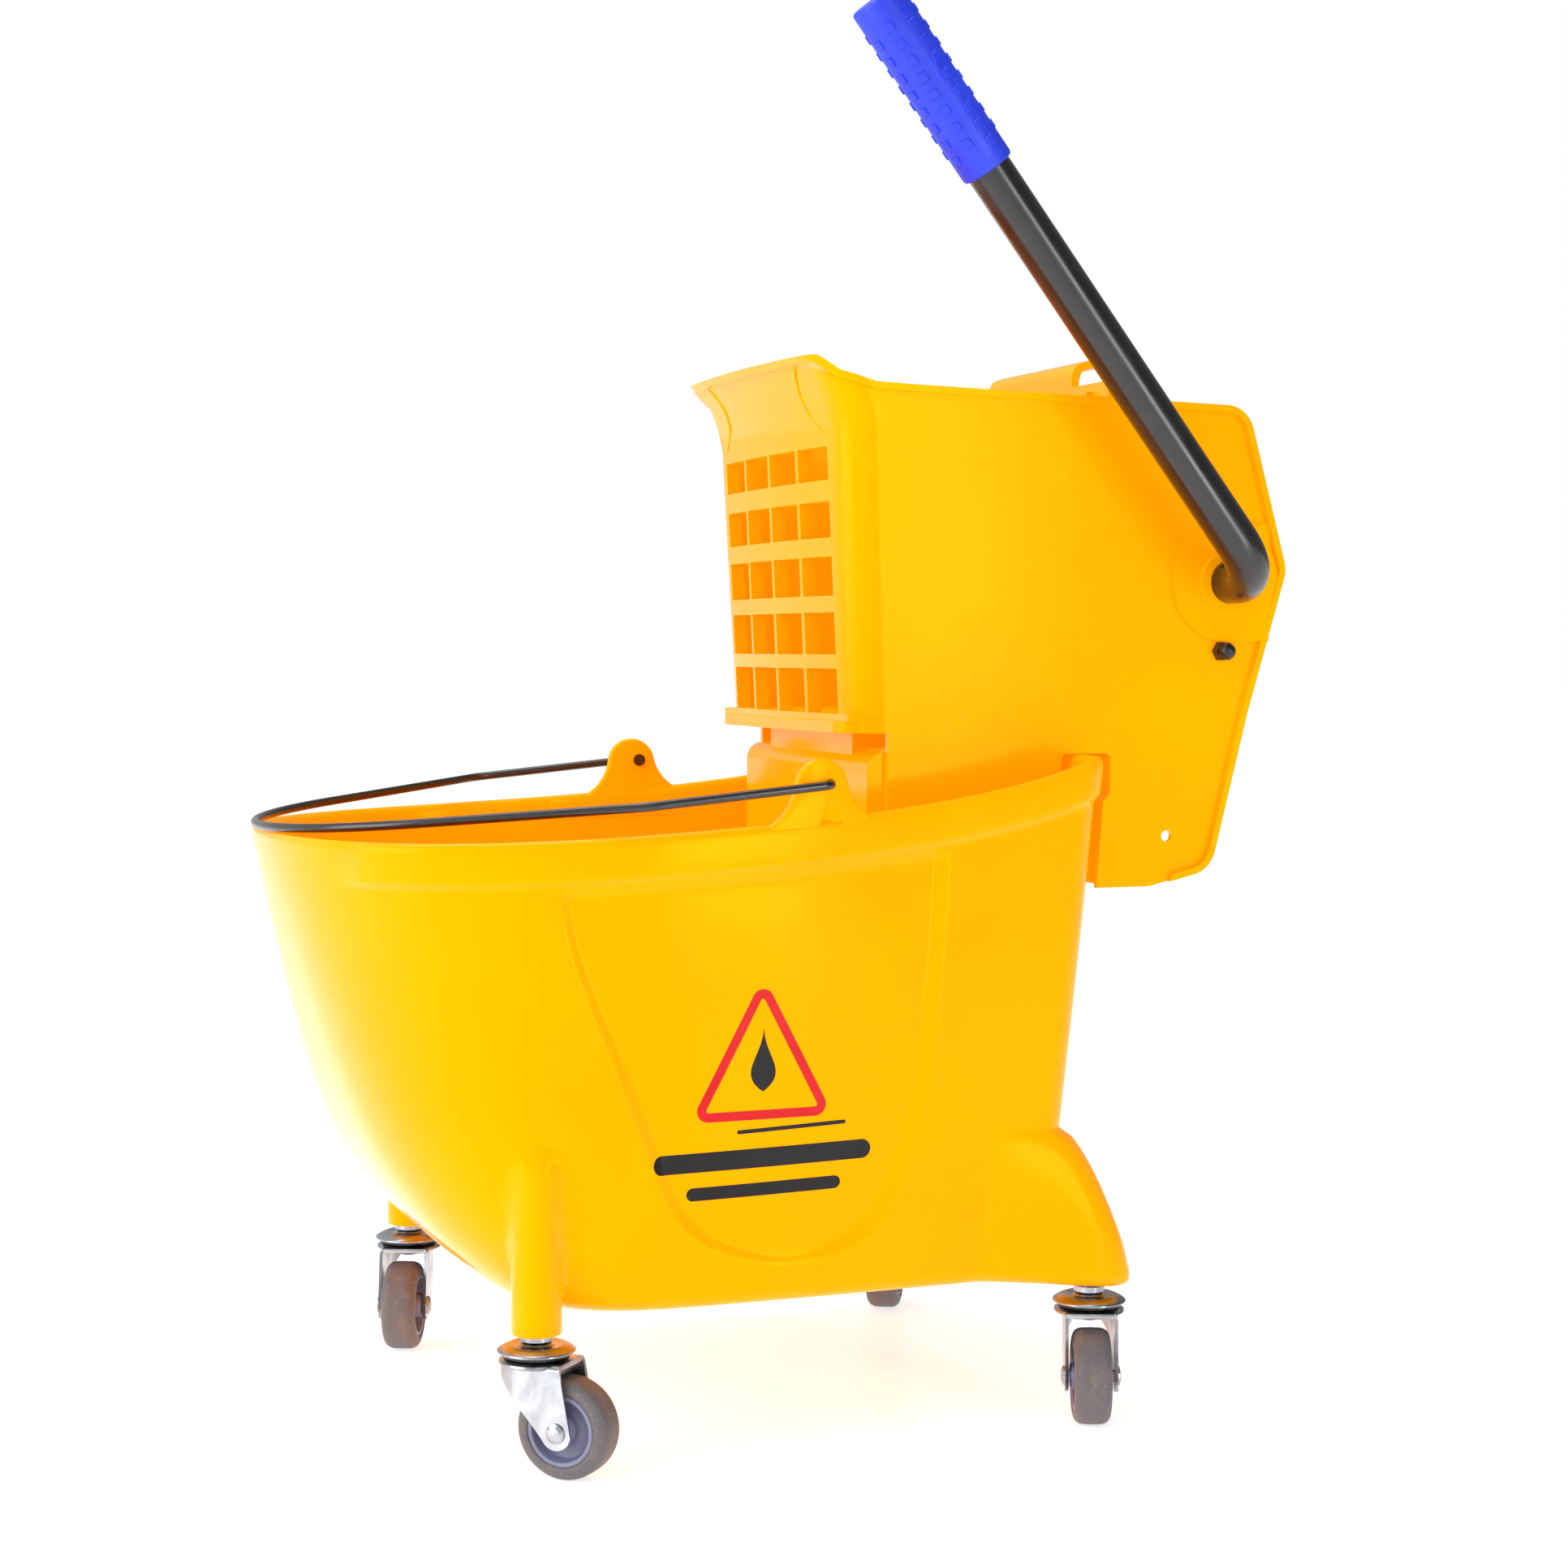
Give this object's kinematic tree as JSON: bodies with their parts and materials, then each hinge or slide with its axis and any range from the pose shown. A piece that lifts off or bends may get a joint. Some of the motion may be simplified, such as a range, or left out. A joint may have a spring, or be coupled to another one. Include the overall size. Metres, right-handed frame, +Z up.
{
  "type": "mop bucket with wringer",
  "caption": "Wheeled plastic mop bucket with a wire bail and swivel casters, carrying a side-press wringer worked by a long lever with a rubber grip.",
  "frame": {"origin": "on the floor, on the plane of symmetry, at the middle of the length", "axes": "+Z up; +X towards the wringer end, so the pouring bow points along -X; +Y towards the side without the lever"},
  "size_m": [0.6996, 0.4407, 0.9397],
  "materials": {
    "yellow_plastic": "glossy moulded polypropylene",
    "black_steel": "satin black powder coat",
    "zinc_plated": "bright zinc plate",
    "black_plastic": "satin black",
    "grey_plastic": "satin grey",
    "grey_tread": "matt non-marking tread",
    "blue_rubber": "moulded rubber with small raised squares",
    "spring_steel": "bright spring wire"
  },
  "bodies": {
    "bucket": {"bucket_tub": "yellow_plastic", "front_left_stem": "zinc_plated", "front_left_raceway": "zinc_plated", "front_right_stem": "zinc_plated", "front_right_raceway": "zinc_plated", "rear_left_stem": "zinc_plated", "rear_left_raceway": "zinc_plated", "rear_right_stem": "zinc_plated", "rear_right_raceway": "zinc_plated"},
    "bail": {"bail_wire": "black_steel"},
    "front_left_swivel": {"front_left_seal": "black_plastic", "front_left_fork": "zinc_plated", "front_left_axle": "zinc_plated"},
    "front_left_wheel": {"front_left_wheel_core": "grey_plastic", "front_left_tread": "grey_tread"},
    "front_right_swivel": {"front_right_seal": "black_plastic", "front_right_fork": "zinc_plated", "front_right_axle": "zinc_plated"},
    "front_right_wheel": {"front_right_wheel_core": "grey_plastic", "front_right_tread": "grey_tread"},
    "rear_left_swivel": {"rear_left_seal": "black_plastic", "rear_left_fork": "zinc_plated", "rear_left_axle": "zinc_plated"},
    "rear_left_wheel": {"rear_left_wheel_core": "grey_plastic", "rear_left_tread": "grey_tread"},
    "rear_right_swivel": {"rear_right_seal": "black_plastic", "rear_right_fork": "zinc_plated", "rear_right_axle": "zinc_plated"},
    "rear_right_wheel": {"rear_right_wheel_core": "grey_plastic", "rear_right_tread": "grey_tread"},
    "wringer": {"wringer_body": "yellow_plastic", "bushing_left": "yellow_plastic", "bushing_right": "yellow_plastic", "tie_rod": "zinc_plated", "cap_nuts": "black_plastic", "return_spring": "spring_steel"},
    "handle": {"handle_tube": "black_steel", "handle_grip": "blue_rubber", "cross_shaft": "black_steel", "shaft_pin": "black_steel", "arm_left": "black_steel", "arm_right": "black_steel", "arm_bolts": "black_steel"},
    "left_link": {"link_left": "black_steel"},
    "right_link": {"link_right": "black_steel"},
    "press": {"press_plate": "yellow_plastic", "press_bracket_left": "black_steel", "press_bracket_right": "black_steel", "bracket_bolts": "black_steel"}
  },
  "joints": [
    {"name": "bail_swing", "type": "hinge", "parent": "bucket", "child": "bail", "pos_m": [-0.022, 0, 0.43], "axis": [0, 1, 0], "range_deg": [0, 85]},
    {"name": "front_left_swivel_turn", "type": "hinge", "parent": "bucket", "child": "front_left_swivel", "pos_m": [-0.207, -0.177, 0.08], "axis": [0, 0, 1], "continuous": true},
    {"name": "front_left_wheel_spin", "type": "hinge", "parent": "front_left_swivel", "child": "front_left_wheel", "pos_m": [-0.19081, -0.19263, 0.03175], "axis": [0.6947, 0.7193, 0], "continuous": true},
    {"name": "front_right_swivel_turn", "type": "hinge", "parent": "bucket", "child": "front_right_swivel", "pos_m": [-0.207, 0.177, 0.08], "axis": [0, 0, 1], "continuous": true},
    {"name": "front_right_wheel_spin", "type": "hinge", "parent": "front_right_swivel", "child": "front_right_wheel", "pos_m": [-0.21579, 0.15629, 0.03175], "axis": [0.9205, -0.3907, 0], "continuous": true},
    {"name": "rear_left_swivel_turn", "type": "hinge", "parent": "bucket", "child": "rear_left_swivel", "pos_m": [0.179, -0.174, 0.08], "axis": [0, 0, 1], "continuous": true},
    {"name": "rear_left_wheel_spin", "type": "hinge", "parent": "rear_left_swivel", "child": "rear_left_wheel", "pos_m": [0.17039, -0.19479, 0.03175], "axis": [0.9239, -0.3827, 0], "continuous": true},
    {"name": "rear_right_swivel_turn", "type": "hinge", "parent": "bucket", "child": "rear_right_swivel", "pos_m": [0.179, 0.174, 0.08], "axis": [0, 0, 1], "continuous": true},
    {"name": "rear_right_wheel_spin", "type": "hinge", "parent": "rear_right_swivel", "child": "rear_right_wheel", "pos_m": [0.16775, 0.15451, 0.03175], "axis": [0.866, -0.5, 0], "continuous": true},
    {"name": "wringer_lift", "type": "slide", "parent": "bucket", "child": "wringer", "axis": [0, 0, 1], "range_m": [0, 0.12]},
    {"name": "handle_turn", "type": "hinge", "parent": "wringer", "child": "handle", "pos_m": [0.303, 0, 0.563], "axis": [0, -1, 0], "range_deg": [0, 50], "stiffness_Nm_per_rad": 0.9, "springref_deg": -103.13, "deforming": ["return_spring"]},
    {"name": "left_link_swing", "type": "hinge", "parent": "handle", "child": "left_link", "pos_m": [0.29173, 0, 0.6422], "axis": [0, -1, 0], "range_deg": [-89, 0]},
    {"name": "right_link_swing", "type": "hinge", "parent": "handle", "child": "right_link", "pos_m": [0.29173, 0, 0.6422], "axis": [0, -1, 0], "range_deg": [-89, 0]},
    {"name": "press_slide", "type": "slide", "parent": "wringer", "child": "press", "axis": [-1, 0, 0], "range_m": [0, 0.0936]}
  ],
  "couplings": [
    {"joint": "left_link_swing", "follows": "handle_turn", "ratio": -1.778},
    {"joint": "right_link_swing", "follows": "handle_turn", "ratio": -1.778},
    {"joint": "press_slide", "follows": "handle_turn", "m_per_rad": 0.1072}
  ]
}
